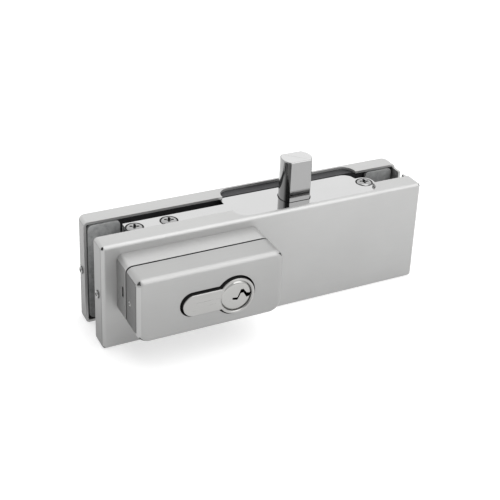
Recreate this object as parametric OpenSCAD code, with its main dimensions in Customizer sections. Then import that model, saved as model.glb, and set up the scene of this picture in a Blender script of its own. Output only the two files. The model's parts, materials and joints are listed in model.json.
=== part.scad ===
// Patch lock for a glass door: two sheet covers over a cast clamp, a lock case that
// throws a bolt upwards, and a half profile cylinder lying on its side in a housing.
// x runs along the lock, y from the key side to the plain side, and z upwards.

/* [Covers] */
// Length of both covers
cover_l = 160; // [156:1:176]
// Height of both covers
cover_h = 51; // [50.5:0.5:56]
// Depth of each cover, from its face to the edge of its lips
cover_d = 9.5; // [9.5:0.5:12]
// Gap between the lips of the two covers, which takes the glass
glass_gap = 13.5; // [13:0.5:16]
// Thickness of the cover sheet
sheet_t = 1.2; // [1:0.1:1.4]
// Outside radius of the bends in the covers
bend_r = 1.8; // [1.7:0.1:3]
// Left end of the notch in the top lips, from the middle of the lock
notch_x0 = -15; // [-18:0.1:-14]
// Right end of the notch in the top lips, from the middle of the lock
notch_x1 = 58.5; // [57:0.1:61]
// How much sooner the notch in the rear cover ends, on the left and on the right
rear_notch_less = 1.2; // [0:0.1:2]
// Width of top lip that the notch leaves
notch_land = 2.4; // [2:0.1:3.5]
// Radius of the inner corners of the notch
notch_r = 6; // [3:0.5:7]
// Gap between the right-hand ends of the two covers, which close the slot over the glass's edge
end_gap = 3; // [2:0.5:5]

/* [Clamp and lock case] */
// Thickness of the pads that grip the glass
pad_t = 2; // [1.5:0.1:2.5]
// Gap between the left end of the case and the pads beside it
pad_gap = 0.7; // [0.5:0.1:2]
// Distance of the pads from the outer edges of the covers
pad_inset = 1.8; // [1.6:0.1:3]
// Radius of the corners of the pads
pad_r = 2.5; // [1:0.5:4]
// Middle plane of the lock case, bolt and top screws, in front of the middle of the glass
axis_y = -2.4; // [-2.8:0.1:-2]
// Left end of the case
case_x0 = -63.8; // [-64:0.1:-63.2]
// Place where the case steps from narrow to wide
step_x = -15; // [-15.4:0.1:-14]
// Right end of the wide part of the case
case_x1 = 54.5; // [54:0.1:56]
// Underside of the case
case_z0 = 6; // [5:0.1:6.2]
// Width of the narrow part of the case
strip_w = 9.8; // [9.4:0.1:10.4]
// Back of the wide part, behind the middle of the glass
wide_back = 8.1; // [7.6:0.1:8.3]
// Radius of the back corner at the step
step_r = 3; // [1:0.5:4]
// Radius of the back corner at the right end
end_r = 5.5; // [3:0.5:6]
// Radius of the lobe round the right-hand top screw
lobe_r = 4.9; // [4.6:0.1:5.2]
// Thickness of the top plate
top_t = 1.5; // [1.2:0.1:2]
// Thickness of the back plates of the case
back_t = 1.2; // [1:0.1:1.4]
// Thickness of the rear clamp plate behind its pads
clamp_t = 3; // [2.5:0.1:3]

/* [Bolt] */
// Middle of the bolt, from the middle of the lock
bolt_x = 18.5; // [16:0.5:20]
// Diameter of the bar that the bolt is made from
bolt_d = 14.8; // [13:0.1:15.2]
// Thickness of the bolt over its two flats
bolt_t = 10.6; // [8.5:0.1:10.8]
// Height that the bolt stands above the top plate when it is thrown
bolt_throw = 20; // [16:0.5:20]
// Chamfer round the end of the bolt
bolt_chamfer = 0.6; // [0.3:0.1:1.2]
// Thickness of the flat tail of the bolt
tail_t = 4; // [3:0.1:4.5]
// Height of the tail above and below its notch
tail_arm = 3; // [2.4:0.1:3]

/* [Cylinder] */
// Middle of the key plug along the lock
cyl_x = -28.9; // [-29.2:0.1:-28.4]
// Distance of the middle of the key plug below the top of the covers
cyl_drop = 21; // [20.8:0.1:22.6]
// Height that the cylinder stands out of the face of its housing
cyl_proud = 1; // [0.2:0.1:2]
// Radius of the round part of the profile cylinder
cyl_r = 8.5; // [8.3:0.1:8.6]
// Distance from the middle of the plug to the end of the flat part of the cylinder
cyl_reach = 24.5; // [24:0.1:25]
// Width of the flat part of the cylinder
cyl_web = 10; // [9.6:0.1:10.4]
// Length of the cylinder behind the middle of its cam
cyl_stub = 10; // [8:0.5:10.5]
// Radius of the key plug
plug_r = 7.1; // [6.8:0.1:7.2]
// Radius from the plug axis to the middle of the round tip of the cam
cam_reach = 13; // [12.4:0.1:13]
// Radius of the tip of the cam
cam_tip_r = 2.9; // [2.5:0.1:3]
// Width of the cam along the plug
cam_w = 6.8; // [6:0.1:6.8]
// Number of pin stacks
pin_count = 5; // [4:1:5]
// Distance from one pin stack to the next
pin_pitch = 5; // [4.5:0.1:5.2]
// Diameter of the pins
pin_d = 2.8; // [2.4:0.1:3]
// Width of the key slot
keyway_w = 2.2; // [1.4:0.1:2.4]

/* [Cylinder housing] */
// Middle of the housing, from the middle of the lock
housing_x = -39.7; // [-40.5:0.1:-38.5]
// Length of the housing
housing_l = 67.2; // [66:0.1:70]
// Distance of the lower face of the housing below the middle of the key plug
housing_drop = 13.9; // [13.1:0.1:14.4]
// Height of the housing
housing_h = 30.4; // [30:0.1:32]
// Depth of the housing in front of the cover
housing_d = 24.5; // [24:0.5:28]
// Depth of the base of the housing, up to the joint with its cap
base_d = 10.8; // [9:0.1:12]
// Radius of the upper left corner of the housing
upper_left_r = 2; // [1:0.1:3.5]
// Radius of the upper right corner of the housing
upper_right_r = 4.5; // [2:0.1:6]
// Radius of the lower corners of the housing
lower_r = 6; // [3:0.5:7]
// Rounding of the front edges of the cap
front_r = 2.4; // [1:0.1:2.4]
// Thickness of the walls of the housing
wall_t = 2.6; // [2.5:0.1:3]
// Gap between the cylinder and the cut-out in the face of the cap
face_gap = 0.6; // [0.5:0.1:1.4]

/* [Screws and clearances] */
// Diameter of the thread of the top plate screws
top_screw_d = 4; // [3.5:0.1:4.2]
// Diameter of the heads of the top plate screws
top_head_d = 8; // [7.5:0.1:8.6]
// Diameter of the screws that draw the two halves together
clamp_screw_d = 5; // [4:0.5:5]
// Diameter of the screws that hold the covers at their ends
end_screw_d = 3.5; // [3:0.1:4]
// Height that the end screws stand out of the covers
end_screw_out = 0.8; // [0.5:0.1:1]
// Clearance of pieces that are screwed together or slipped in
fit = 0.1; // [0.05:0.01:0.15]
// Clearance all round the pieces that slide or turn freely
run = 0.3; // [0.25:0.01:0.35]
// Radial clearance of the plug in its bore
plug_run = 0.05; // [0.03:0.01:0.08]

/* [Hidden] */
$fn = 64;

// A cut reaches this far past the faces that it opens
past = 1;

// Planes from front to back
lip_y = glass_gap / 2;
face_y = lip_y + cover_d;
seat_y = lip_y + pad_t;
casting_y = face_y - sheet_t - fit;
strip_back = axis_y + strip_w / 2;
base_y = -face_y - base_d;
cap_y = -face_y - housing_d;
cyl_y = cap_y - cyl_proud;
housing_x0 = housing_x - housing_l / 2;
housing_x1 = housing_x + housing_l / 2;
joint_gap = 0.35;

// Slot in the left side of the base
slot_depth = 1.5;
slot_w = 1.2;
slot_l = 5;
slot_y = base_y + slot_w + 1.6;

// Levels from bottom to top
cyl_z = cover_h - cyl_drop;
housing_z0 = cyl_z - housing_drop;
inner_z = sheet_t + fit;
end_inset = sheet_t + 0.2;
lid_z = cover_h - sheet_t - 2 * fit;
deck_z = lid_z - top_t;
pad_x1 = cover_l / 2 - pad_inset;
pad_x0 = -case_x0 + pad_gap;

// Bolt, tail and cam
throw_half = bolt_throw / 2;
notch_play = 0.65;
notch_half = cam_tip_r + notch_play;
tail_half = notch_half + tail_arm;
tail_z = cyl_z + throw_half;
cam_r = cam_reach + cam_tip_r;
hub_r = cyl_r - 0.2;
tail_x0 = cyl_x + hub_r + 2 * run;
tail_x1 = bolt_x + bolt_d / 2 - 2;
notch_x = cyl_x + cam_r + 2 * run;
cam_turn = asin(throw_half / cam_reach);
cam_neck = 2 * cam_tip_r - 1.8;
pocket_z0 = tail_z - tail_half - bolt_throw - run;
pocket_z1 = tail_z + tail_half + run;
channel_z0 = case_z0 + 1.4;
bolt_z0 = channel_z0 + bolt_throw + run;
bolt_z1 = lid_z + bolt_throw;
wall_x = step_x + 3;
tail_slot = tail_t + 2 * fit;
rivet_r = 1.5;
rivets_at = [[bolt_x - 3, tail_z - 3.4], [bolt_x + 2.5, tail_z + 3.4]];

// Guide behind the bolt, and the bowed brake spring in it
guide_z0 = bolt_z0 + 1.5;
guide_z1 = pocket_z1 - fit;
guide_rim = 1.6;
brake_w = 8;
brake_t = 0.5;
brake_rise = 0.8;
brake_half = (guide_z1 - guide_z0) / 2 - 2;
brake_r = (pow(brake_half, 2) + pow(brake_rise, 2)) / (2 * brake_rise);

// Cylinder along its own axis
cam_y0 = axis_y - cam_w / 2;
cam_y1 = axis_y + cam_w / 2;
slot_y0 = cam_y0 - run;
slot_y1 = cam_y1 + run;
stub_y = axis_y + cyl_stub;
neck_r = 5;
neck_flat = 8;
clip_t = 0.8;
groove_r = 4.2;
clip_y = slot_y1 + fit;
neck_y = clip_y + clip_t + 1.2;
shear_x = cyl_x - plug_r;
pin_y0 = cap_y + 5;
pins_y = [for (i = [0:pin_count - 1]) pin_y0 + i * pin_pitch];
driver_l = 5.5;
spring_l = 5;
pin_bore_r = pin_d / 2 + fit;

// Cam chamber in the case
chamber_r = cam_r + 0.5;
back_seat = strip_back - back_t;
wide_seat = wide_back - back_t;

// Screw that holds the cylinder
fixing_r = 2.5;
fixing_head_r = 3.2;
fixing_head_t = 3.4;

// Screws of the top plate: left, middle and right
top_screws_x = [case_x0 + 3.8, case_x0 + 19.9, case_x1 + 2.1];
top_screw_l = 8;

// Screws from the rear clamp plate into the case, each as [x, z]
clamp_edge = 0.92 * clamp_screw_d;
clamp_screws_at = [
    [case_x0 + 1.25 * clamp_edge, case_z0 + clamp_edge],
    [(top_screws_x[0] + top_screws_x[1]) / 2, deck_z - 1.5 * clamp_edge],
    [(bolt_x + bolt_d / 2 + top_screws_x[2]) / 2, deck_z - 1.5 * clamp_edge],
    [case_x1 - 2 * clamp_edge, case_z0 + clamp_edge]
];
clamp_bite = 13;
clamp_head_r = clamp_screw_d / 2 + 1.9;
clamp_head_t = casting_y - seat_y - clamp_t - fit;

// Screws that hold the housing from inside the case, each as [x, z]
housing_screw_d = 3;
housing_head_r = housing_screw_d;
housing_head_t = 0.8 * housing_screw_d;
housing_head_y = cam_y0 - 2 * run - housing_head_t;
housing_bite = 7;
boss_r = 1.2 * housing_screw_d;
boss_edge = 1.3 * boss_r;
housing_screws_at = [
    [cyl_x - cyl_reach - 1.5 * boss_r, housing_z0 + boss_edge],
    [housing_x1 - 1.5 * boss_r, housing_z0 + boss_edge],
    [housing_x1 - 1.5 * boss_r, housing_z0 + housing_h - boss_edge]
];

// Countersunk screws of the two back plates, each as [x, z]
small_screw_r = 1.25;
small_cone = back_t;
small_screw_l = 4 * small_screw_r;
small_edge = small_screw_r + small_cone + run;
cam_plate_screws_at = [
    [case_x0 + small_edge, cyl_z + fixing_head_r + 1.5 * small_edge],
    [top_screws_x[1] + 2 * small_edge, deck_z - small_edge],
    [(case_x0 + cyl_x) / 2, case_z0 + small_edge],
    [step_x - 2 * small_edge, case_z0 + small_edge]
];
bolt_plate_screws_at = [
    [step_x + 2 * small_edge, case_z0 + small_edge],
    [(step_x + bolt_x) / 2, case_z0 + small_edge],
    [bolt_x + bolt_d / 2 + 1.5 * small_edge, deck_z - small_edge],
    [case_x1 - 1.25 * small_edge, cyl_z]
];

// End screws of the covers and of the cap
end_screw_l = 6.5;
end_screw_y = (seat_y + casting_y) / 2 - 1.1;
cap_screw_r = 1.25;
cap_screw_y = base_y - 4.2;
cap_screw_z = cyl_z + 1.1;
spigot_d = 6.5;

// Boxes and rods given by their limits
module block(x0, x1, y0, y1, z0, z1) translate([x0, y0, z0]) cube([x1 - x0, y1 - y0, z1 - z0]);
module rod_x(y, z, r, x0, x1) translate([x0, y, z]) rotate([0, 90, 0]) cylinder(r = r, h = x1 - x0);
module rod_y(x, z, r, y0, y1) translate([x, y1, z]) rotate([90, 0, 0]) cylinder(r = r, h = y1 - y0);
module rod_z(x, y, r, z0, z1) translate([x, y, z0]) cylinder(r = r, h = z1 - z0);

// An outline drawn in x and z, or in y and z, carried through between two planes
module through_y(y0, y1) translate([0, y1, 0]) rotate([90, 0, 0]) linear_extrude(y1 - y0) children();
module through_x(x0, x1) translate([x0, 0, 0]) rotate([90, 0, 90]) linear_extrude(x1 - x0) children();
module through_z(z0, z1) translate([0, 0, z0]) linear_extrude(z1 - z0) children();

// Rectangle with its own radius at each corner: lower left, lower right, upper right, upper left
module corner_rect(x0, x1, y0, y1, r) {
    corners = [[x0, y0, 1, 1], [x1, y0, -1, 1], [x1, y1, -1, -1], [x0, y1, 1, -1]];
    difference() {
        translate([x0, y0]) square([x1 - x0, y1 - y0]);
        for (i = [0:3]) if (r[i] > 0)
            translate([corners[i][0], corners[i][1]])
                scale([corners[i][2], corners[i][3]])
                    corner_waste(r[i]);
    }
}

// What rounding takes off a corner at the origin
module corner_waste(r) difference() {
    translate([-past, -past]) square(r + past);
    translate([r, r]) circle(r);
}

// Outline of the profile cylinder, grown by a clearance
module profile(grow) {
    translate([cyl_x, cyl_z]) circle(cyl_r + grow);
    translate([cyl_x - cyl_reach + cyl_web / 2, cyl_z]) circle(cyl_web / 2 + grow);
    translate([cyl_x - cyl_reach + cyl_web / 2, cyl_z - cyl_web / 2 - grow])
        square([cyl_reach - cyl_web / 2, cyl_web + 2 * grow]);
}

// Plan of the case and its top plate
module case_plan() {
    corner_rect(case_x0, step_x + past, axis_y - strip_w / 2, strip_back, [0, 0, 0, 0]);
    corner_rect(step_x, case_x1, -casting_y + run, wide_back, [0, 0, end_r, step_r]);
    translate([case_x1 - past, -casting_y + run])
        square([top_screws_x[2] + lobe_r - case_x1 + past, axis_y + casting_y - run]);
    translate([case_x1 - past, axis_y])
        square([top_screws_x[2] - case_x1 + past, lobe_r]);
    translate([top_screws_x[2], axis_y]) circle(lobe_r);
}

// Section of the bolt, grown by a clearance
module bolt_section(grow) translate([bolt_x, axis_y]) intersection() {
    circle(bolt_d / 2 + grow);
    square([bolt_d + 2 * grow, bolt_t + 2 * grow], center = true);
}

// Solid block with its face edges rounded, from which a cover is hollowed
module cover_block(inset, r, lip) {
    half_l = cover_l / 2 - inset;
    intersection() {
        through_x(-half_l, half_l)
            corner_rect(-face_y + inset, lip, inset, cover_h - inset, [r, 0, 0, r]);
        through_z(inset, cover_h - inset)
            corner_rect(-half_l, half_l, -face_y + inset, lip, [r, r, 0, 0]);
    }
}

// One cover with its lips, end screw holes and the notch from x0 to x1, as it lies on the key side
module cover(x0, x1) difference() {
    union() {
        cover_block(0, bend_r, -lip_y);
        block(cover_l / 2 - sheet_t, cover_l / 2, -face_y + bend_r, -end_gap / 2,
            end_inset, cover_h - end_inset);
    }
    cover_block(sheet_t, bend_r - sheet_t, -lip_y + past);
    through_z(cover_h - sheet_t - past, cover_h + past)
        corner_rect(x0, x1, -face_y + notch_land, -lip_y + past, [notch_r, notch_r, 0, 0]);
    for (side = [-1, 1])
        rod_x(-end_screw_y, cover_h / 2, end_screw_d / 2 + fit,
            side * cover_l / 2 - 2 * sheet_t, side * cover_l / 2 + 2 * sheet_t);
}

module front_cover() color("#c9c9c6") difference() {
    cover(notch_x0, notch_x1);
    through_y(-face_y - past, -casting_y) profile(2 * fit);
    for (at = housing_screws_at)
        rod_y(at[0], at[1], housing_screw_d / 2 + 2 * fit, -face_y - past, -casting_y);
}

module rear_cover() color("#c9c9c6") mirror([0, 1, 0])
    cover(notch_x0 + rear_notch_less, notch_x1 - rear_notch_less);

// Flat casting that fills a cover behind its lips, before it is cut
module clamp_half() cover_block(sheet_t + fit, bend_r - sheet_t, -seat_y);

module lock_body() color("#6f7175") difference() {
    union() {
        clamp_half();
        intersection() {
            through_z(case_z0, deck_z) case_plan();
            union() {
                block(case_x0 - past, step_x + past, -casting_y, back_seat, 0, cover_h);
                block(step_x, case_x1 + 3 * lobe_r, -casting_y, wide_seat, 0, cover_h);
            }
        }
        block(case_x0, step_x + past, -seat_y - past, axis_y, case_z0, deck_z);
        block(case_x1 - past, top_screws_x[2] + lobe_r, -seat_y - past, axis_y, case_z0, deck_z);
    }
    block(step_x - run, top_screws_x[2] + lobe_r + run, -casting_y - past, -axis_y, deck_z, cover_h);
    cylinder_way();
    bolt_way();
    screw_ways();
}

// Room for the cylinder, its cam and its fixing screw
module cylinder_way() {
    through_y(-casting_y - past, wide_seat + past) profile(2 * fit);
    rod_y(cyl_x, cyl_z, chamber_r, slot_y0, back_seat + past);
    rod_x(axis_y, cyl_z, fixing_r + fit, case_x0 - past, cyl_x - cyl_reach + past);
    rod_x(axis_y, cyl_z, fixing_head_r + fit, case_x0 - past, case_x0 + fixing_head_t + 2 * fit);
}

// Room for the bolt and its tail
module bolt_way() {
    half = bolt_d / 2 + run;
    front = axis_y - tail_t / 2 - 2 * run;
    block(tail_x0 - 2 * run, wall_x + past, front, back_seat + past, pocket_z0, pocket_z1);
    block(wall_x, bolt_x, front, wide_seat + past, pocket_z0, pocket_z1);
    block(bolt_x - half, bolt_x + half, axis_y - bolt_t / 2 - run, wide_seat + past, channel_z0, pocket_z1);
    through_z(pocket_z1 - past, cover_h) bolt_section(run);
}

// Tapped and clearance holes of the front casting
module screw_ways() {
    for (x = top_screws_x)
        rod_z(x, axis_y, top_screw_d / 2, lid_z - top_screw_l - past, cover_h);
    for (at = clamp_screws_at)
        rod_y(at[0], at[1], clamp_screw_d / 2, seat_y - clamp_bite - past, wide_back + past);
    for (at = housing_screws_at) {
        rod_y(at[0], at[1], housing_screw_d / 2 + fit, -casting_y - past, 0);
        rod_y(at[0], at[1], housing_head_r + run, housing_head_y, wide_back);
    }
    for (at = cam_plate_screws_at)
        rod_y(at[0], at[1], small_screw_r, strip_back - small_screw_l - past, wide_back);
    for (at = bolt_plate_screws_at)
        rod_y(at[0], at[1], small_screw_r, wide_back - small_screw_l - past, wide_back);
    end_screw_holes(-1);
}

// Tapped holes for the end screws, on the key side (-1) or the plain side (1)
module end_screw_holes(side) for (end = [-1, 1])
    rod_x(side * end_screw_y, cover_h / 2, end_screw_d / 2,
        end * cover_l / 2 - end_screw_l - past, end * cover_l / 2 + end_screw_l + past);

module rear_clamp_plate() color("#5d5f63") difference() {
    rim = 2.5;
    mirror([0, 1, 0]) clamp_half();
    block(-pad_x0, pad_x0, seat_y + clamp_t, casting_y + past,
        inner_z + rim, lid_z - rim);
    for (at = clamp_screws_at)
        rod_y(at[0], at[1], clamp_screw_d / 2 + 2 * fit, 0, casting_y);
    end_screw_holes(1);
}

module bolt_back_plate() color("#a8aaac") difference() {
    intersection() {
        through_z(case_z0, deck_z) case_plan();
        block(step_x, case_x1, wide_seat, wide_back, case_z0, deck_z);
    }
    for (at = clamp_screws_at)
        rod_y(at[0], at[1], clamp_screw_d / 2 + 2 * fit, 0, seat_y);
    for (at = bolt_plate_screws_at)
        countersink(at, wide_back);
}

module cam_back_plate() color("#a8aaac") difference() {
    block(case_x0, step_x - fit, back_seat, strip_back, case_z0, deck_z);
    through_y(0, seat_y) profile(2 * fit);
    for (at = clamp_screws_at)
        rod_y(at[0], at[1], clamp_screw_d / 2 + 2 * fit, 0, seat_y);
    for (at = housing_screws_at)
        rod_y(at[0], at[1], housing_head_r + run, 0, seat_y);
    for (at = cam_plate_screws_at)
        countersink(at, strip_back);
}

// Seat of a small countersunk screw in a plate whose back is at y
module countersink(at, y) translate([at[0], y, at[1]]) rotate([90, 0, 0]) {
    translate([0, 0, -past]) cylinder(r = small_screw_r + small_cone, h = past);
    cylinder(r1 = small_screw_r + small_cone, r2 = small_screw_r, h = small_cone);
    cylinder(r = small_screw_r, h = seat_y);
}

module small_screw(at, y) translate([at[0], y, at[1]]) rotate([90, 0, 0]) difference() {
    union() {
        cylinder(r1 = small_screw_r + small_cone - fit, r2 = small_screw_r - fit, h = small_cone);
        cylinder(r = small_screw_r - fit / 2, h = small_screw_l);
    }
    cross_recess(1.5, 0.6);
}

module back_plate_screws() color("#8d8f92") {
    for (at = cam_plate_screws_at) small_screw(at, strip_back);
    for (at = bolt_plate_screws_at) small_screw(at, wide_back);
}

// Cross recess cut down from the origin along +z
module cross_recess(reach, depth) for (turn = [0, 90])
    rotate(turn) translate([-reach, -reach / 4, -past]) cube([2 * reach, reach / 2, depth + past]);

module top_plate() color("#dfe0e0") difference() {
    through_z(deck_z, lid_z) case_plan();
    through_z(deck_z - past, lid_z + past) bolt_section(run);
    for (x = top_screws_x) {
        rod_z(x, axis_y, top_screw_d / 2 + fit, deck_z - past, lid_z + past);
        translate([x, axis_y, lid_z - top_t])
            cylinder(r1 = top_head_d / 2 - top_t, r2 = top_head_d / 2, h = top_t);
    }
}

module top_plate_screws() color("#d2d3d3") for (x = top_screws_x)
    translate([x, axis_y, lid_z]) rotate([180, 0, 0]) difference() {
        union() {
            cylinder(r1 = top_head_d / 2 - fit, r2 = top_head_d / 2 - top_t - fit, h = top_t);
            cylinder(r = top_screw_d / 2 - fit / 2, h = top_screw_l);
        }
        cross_recess(2.2, 1.4);
    }

// One pad on the clamp: side -1 is the key side, end -1 the left end
module pad(side, end) color("#6e6f70") {
    y0 = side < 0 ? -seat_y : lip_y;
    through_y(y0, y0 + pad_t)
        corner_rect(min(end * pad_x0, end * pad_x1), max(end * pad_x0, end * pad_x1),
            pad_inset, cover_h - pad_inset, [pad_r, pad_r, pad_r, pad_r]);
}

module clamp_screws() color("#8d8f92") for (at = clamp_screws_at) difference() {
    union() {
        rod_y(at[0], at[1], clamp_screw_d / 2 - fit / 2, seat_y - clamp_bite, seat_y + clamp_t + past);
        rod_y(at[0], at[1], clamp_head_r, seat_y + clamp_t, seat_y + clamp_t + clamp_head_t);
    }
    translate([at[0], seat_y + clamp_t + clamp_head_t, at[1]]) rotate([90, 0, 0])
        cylinder(r = clamp_screw_d / 4 + 0.6, h = clamp_head_t - 1, $fn = 6);
}

module cover_end_screws() color("#b9babb") for (end = [-1, 1], side = [-1, 1]) {
    tip = cover_l / 2 + end_screw_out;
    root = cover_l / 2 - end_screw_l;
    difference() {
        rod_x(side * end_screw_y, cover_h / 2, end_screw_d / 2 - fit / 2,
            min(end * tip, end * root), max(end * tip, end * root));
        translate([end * tip, side * end_screw_y, cover_h / 2]) rotate([0, end * -90, 0])
            translate([0, 0, -past]) cylinder(r = end_screw_d / 4, h = past + 1.2, $fn = 6);
    }
}

// Outline of the housing, drawn in x and z and inset from its outer faces
module housing_outline(inset) corner_rect(
    housing_x0 + inset, housing_x1 - inset,
    housing_z0 + inset, housing_z0 + housing_h - inset,
    [lower_r - inset, lower_r - inset, max(upper_right_r - inset, 0), max(upper_left_r - inset, 0)]);

module housing_base() color("#bdbebd") difference() {
    union() {
        difference() {
            union() {
                through_y(base_y, -face_y) housing_outline(0);
                through_y(base_y - spigot_d, base_y + past) housing_outline(wall_t + fit);
            }
            through_y(base_y - spigot_d - past, -face_y - 2) housing_outline(2 * wall_t + fit);
        }
        for (at = housing_screws_at)
            rod_y(at[0], at[1], boss_r, base_y + past, -face_y);
        intersection() {
            through_y(base_y - spigot_d, -face_y) profile(2 * fit + 1.6);
            through_y(base_y - spigot_d, -face_y) housing_outline(wall_t + fit);
        }
    }
    through_y(base_y - spigot_d - past, -face_y + past) profile(2 * fit);
    for (at = housing_screws_at)
        rod_y(at[0], at[1], housing_screw_d / 2, -face_y - housing_bite - past, -face_y + past);
    cap_screw_holes(2 * wall_t + past);
    block(housing_x0 - past, housing_x0 + slot_depth, slot_y, slot_y + slot_w, cyl_z, cyl_z + slot_l);
}

module housing_cap() color("#c9c9c6") difference() {
    intersection() {
        through_y(cap_y, base_y - joint_gap) housing_outline(0);
        through_x(housing_x - housing_l, housing_x + housing_l)
            corner_rect(cap_y, base_y, housing_z0, housing_z0 + housing_h, [front_r, 0, 0, front_r]);
        through_z(0, cover_h)
            corner_rect(housing_x0, housing_x1, cap_y, base_y, [front_r, front_r, 0, 0]);
    }
    through_y(cap_y + wall_t, base_y + past) housing_outline(wall_t);
    through_y(cap_y - past, cap_y + wall_t + past) profile(face_gap);
    cap_screw_holes(2 * wall_t);
}

// Tapped holes for the two grub screws that hold the cap on the base
module cap_screw_holes(reach) for (end_x = [housing_x0, housing_x1])
    rod_x(cap_screw_y, cap_screw_z, cap_screw_r, end_x - reach, end_x + reach);

module housing_screws() color("#8d8f92") for (at = housing_screws_at) difference() {
    union() {
        rod_y(at[0], at[1], housing_screw_d / 2 - fit / 2, -face_y - housing_bite, housing_head_y + past);
        rod_y(at[0], at[1], housing_head_r, housing_head_y, housing_head_y + housing_head_t);
    }
    translate([at[0], housing_head_y + housing_head_t, at[1]]) rotate([90, 0, 0]) cross_recess(1.8, 1.2);
}

module cap_set_screws() color("#b9babb") for (root_x = [housing_x0, housing_x1 - 2 * wall_t])
    rod_x(cap_screw_y, cap_screw_z, cap_screw_r - fit / 2, root_x, root_x + 2 * wall_t);

module cylinder_body() color("#b4b3ae") difference() {
    through_y(cyl_y, stub_y) profile(0);
    rod_y(cyl_x, cyl_z, plug_r + plug_run, cyl_y - past, stub_y - past);
    rod_y(cyl_x, cyl_z, cam_r + run, slot_y0, slot_y1);
    for (y = pins_y)
        rod_x(y, cyl_z, pin_bore_r, cyl_x - cyl_reach - past, cyl_x);
    rod_x(axis_y, cyl_z, fixing_r - fit, cyl_x - cyl_reach - past, cyl_x - cam_r);
}

module cylinder_fixing_screw() color("#8d8f92") difference() {
    union() {
        rod_x(axis_y, cyl_z, fixing_r - 2 * fit, case_x0 + fixing_head_t, cyl_x - cam_r - 2 * run);
        rod_x(axis_y, cyl_z, fixing_head_r, case_x0 + 2 * fit, case_x0 + fixing_head_t + 2 * fit);
    }
    translate([case_x0 + 2 * fit, axis_y, cyl_z]) rotate([0, 90, 0]) cross_recess(2, 1.6);
}

// Pins stand at the edge of the plug, as they do with the key pushed home
module driver_pins() color("#c8a860") for (y = pins_y)
    rod_x(y, cyl_z, pin_d / 2, shear_x - 2 * fit - driver_l, shear_x - 2 * fit);

module pin_springs() color("#9a9c9e") for (y = pins_y) difference() {
    rod_x(y, cyl_z, pin_d / 2 - fit, shear_x - 2 * fit - driver_l - spring_l, shear_x - 2 * fit - driver_l);
    rod_x(y, cyl_z, pin_d / 2 - 0.6, shear_x - driver_l - spring_l - past, shear_x - driver_l + past);
}

module pin_chamber_caps() color("#b4b3ae") for (y = pins_y)
    rod_x(y, cyl_z, pin_bore_r, cyl_x - cyl_reach + 1, shear_x - 2 * fit - driver_l - spring_l);

module cylinder_plug() color("#c4c3be") difference() {
    union() {
        rod_y(cyl_x, cyl_z, plug_r, cyl_y, slot_y0);
        intersection() {
            rod_y(cyl_x, cyl_z, neck_r, slot_y0 - past, neck_y);
            block(cyl_x - neck_r, cyl_x + neck_r, slot_y0 - past, neck_y,
                cyl_z - neck_flat / 2, cyl_z + neck_flat / 2);
        }
    }
    difference() {
        rod_y(cyl_x, cyl_z, plug_r, clip_y, clip_y + clip_t);
        rod_y(cyl_x, cyl_z, groove_r, clip_y - past, clip_y + clip_t + past);
    }
    keyway();
    for (y = pins_y)
        rod_x(y, cyl_z, pin_bore_r, cyl_x - plug_r - past, cyl_x - 1);
}

// Key slot: a zigzag band from the pins out to the edge of the plug
module keyway() {
    half = keyway_w / 2;
    reach = plug_r + past;
    middle = [[-2, -1.2], [0, -1.2], [2.2, 1.9], [4.2, -0.6], [6.4, 0.6], [reach, 1.4]];
    through_y(cyl_y - past, pins_y[pin_count - 1] + pin_d) translate([cyl_x, cyl_z])
        polygon(concat([for (p = middle) [p[0], p[1] + half]],
            [for (i = [len(middle) - 1:-1:0]) [middle[i][0], middle[i][1] - half]]));
}

module key_pins() color("#c8a860") for (y = pins_y)
    rod_x(y, cyl_z, pin_d / 2, shear_x + 2 * fit, cyl_x - 0.8 * pin_d);

module cylinder_cam() color("#8f8a80") difference() {
    translate([cyl_x, cam_y1, cyl_z]) rotate([90, 0, 0]) linear_extrude(cam_w) {
        circle(hub_r);
        rotate(cam_turn) {
            translate([0, -cam_neck / 2]) square([cam_reach, cam_neck]);
            translate([cam_reach, 0]) circle(cam_tip_r);
        }
    }
    intersection() {
        rod_y(cyl_x, cyl_z, neck_r + fit / 2, cam_y0 - past, cam_y1 + past);
        block(cyl_x - cam_r, cyl_x + cam_r, cam_y0 - past, cam_y1 + past,
            cyl_z - neck_flat / 2 - fit / 2, cyl_z + neck_flat / 2 + fit / 2);
    }
}

// Open spring ring that keeps the plug from being drawn out
module plug_clip() color("#77797c") difference() {
    rod_y(cyl_x, cyl_z, plug_r - 0.6, clip_y + 0.05, clip_y + clip_t - 0.05);
    rod_y(cyl_x, cyl_z, groove_r + 0.05, clip_y - past, clip_y + clip_t + past);
    block(cyl_x - 1.5, cyl_x + 1.5, clip_y - past, clip_y + clip_t + past, cyl_z, cyl_z + plug_r);
}

module bolt() color("#e3e3e2") difference() {
    intersection() {
        through_z(bolt_z0, bolt_z1) bolt_section(0);
        translate([bolt_x, axis_y, bolt_z0]) {
            cylinder(d = bolt_d, h = bolt_z1 - bolt_z0 - bolt_chamfer);
            translate([0, 0, bolt_z1 - bolt_z0 - bolt_chamfer])
                cylinder(d1 = bolt_d, d2 = bolt_d - 2 * bolt_chamfer, h = bolt_chamfer);
        }
    }
    block(bolt_x - bolt_d, tail_x1 + fit, axis_y - tail_slot / 2, axis_y + tail_slot / 2,
        tail_z - tail_half - fit, tail_z + tail_half + fit);
    for (at = rivets_at)
        rod_y(at[0], at[1], rivet_r, axis_y - bolt_t, axis_y + bolt_t);
}

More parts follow.
